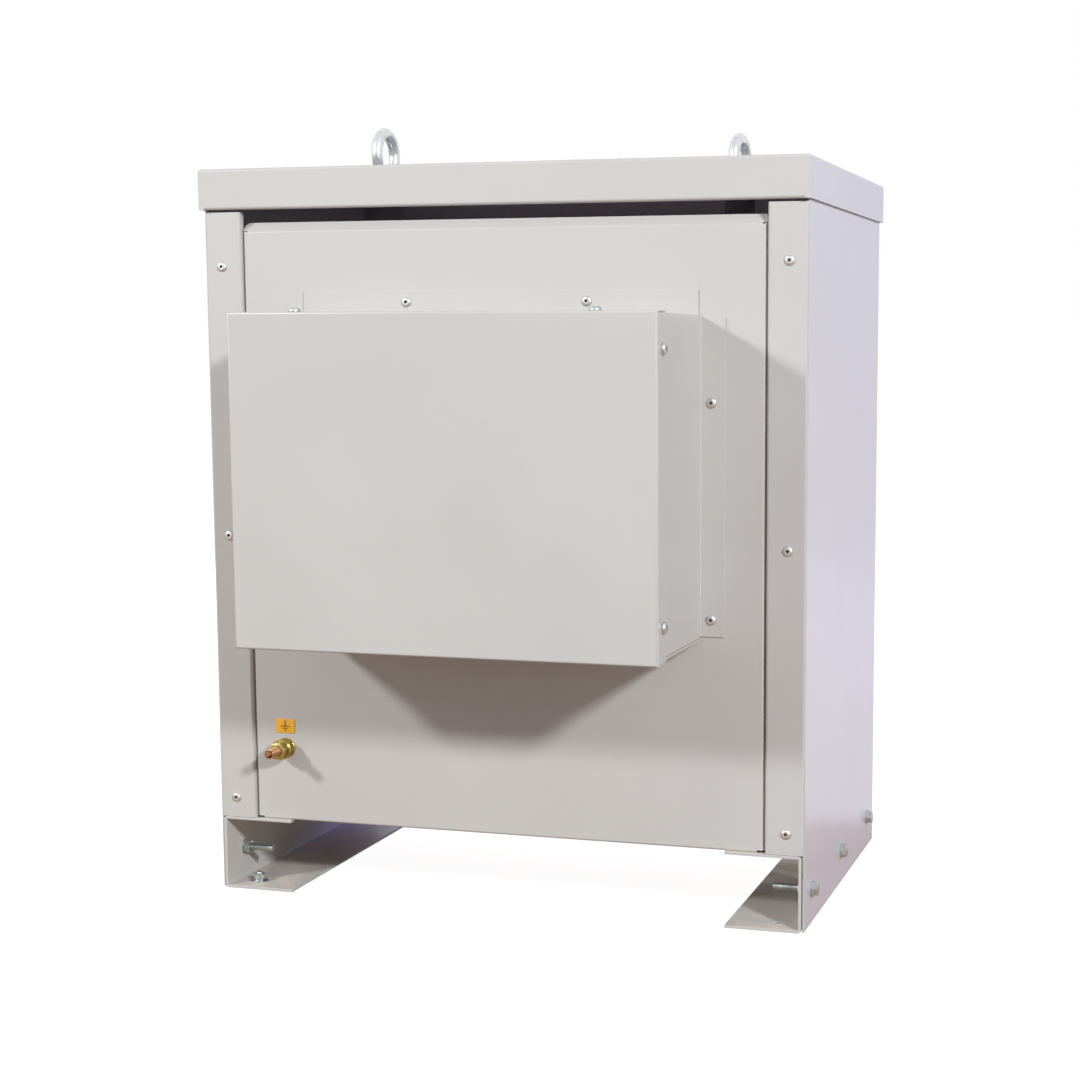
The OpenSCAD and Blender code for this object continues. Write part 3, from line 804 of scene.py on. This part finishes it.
bars = []
for wide, high, middle in SYMBOL:
    bar = block("bar", (wide, high, BAR_THICK), 0.2, 0.08)
    only(bar)
    bpy.ops.transform.translate(value=(0, middle * MM, (SIGN_THICK - BAR_SUNK) * MM))
    bpy.ops.object.transform_apply(location=True)
    bars.append(bar)
symbol = together("symbol", bars)
fit(set_out("earth_symbol", symbol, [((SIGN_X, PANEL_FACE, SIGN_Z), "front", 0)]), sign_black, "sign")
bpy.data.objects.remove(symbol)

# %% [markdown]
# ## Lifting eyes
# A forged lifting eye flows from its collar into the ring with a soft fillet, which CAD's plain torus on
# a cone doesn't show. Ring and collar are joined, remeshed to one even skin, and smoothed a few times, so
# that the metal seems to have been pressed in a die. The CAD eyes keep the exact sizes for the hook.

# %% Eyes
EYE_HEIGHT, EYE_RING, EYE_WIRE, EYE_SEAT = 798.5, 23.25, 12.5, 770
EYES = {"lifting_eye_left": (-182, -52.5, 0), "lifting_eye_right": (182, 102.5, -4)}
drop_selection()
bpy.ops.mesh.primitive_torus_add(major_radius=EYE_RING * MM, minor_radius=EYE_WIRE / 2 * MM,
                                 major_segments=96, minor_segments=32, rotation=(0, pi / 2, 0),
                                 location=(0, 0, (EYE_HEIGHT - EYE_SEAT) * MM))
ring = bpy.context.object
bpy.ops.object.transform_apply(location=True, rotation=True)
collar = lathe("collar", [(0, -26), (7.2, -26), (8, -25), (8, 0), (16.2, 0), (17, 0.8), (17, 4.2),
                          (16.2, 5), (12.5, 6.6), (9.6, 9.2), (0, 10)], 48)
eye = carve(ring, collar, "UNION")
only(eye)
bpy.ops.object.modifier_add(type="REMESH")
skin = eye.modifiers[-1]
skin.mode, skin.voxel_size = "VOXEL", 0.75 * MM
bpy.ops.object.modifier_apply(modifier=skin.name)
bpy.ops.object.modifier_add(type="SMOOTH")
press = eye.modifiers[-1]
press.factor, press.iterations = 0.5, 8
bpy.ops.object.modifier_apply(modifier=press.name)
for name, (x, y, turn) in EYES.items():
    fit(set_out(name.replace("lifting", "forged"), eye, [((x, y, EYE_SEAT), "up", radians(turn))]),
        forged_zinc, "zinc", name, smooth=60)
bpy.data.objects.remove(eye)
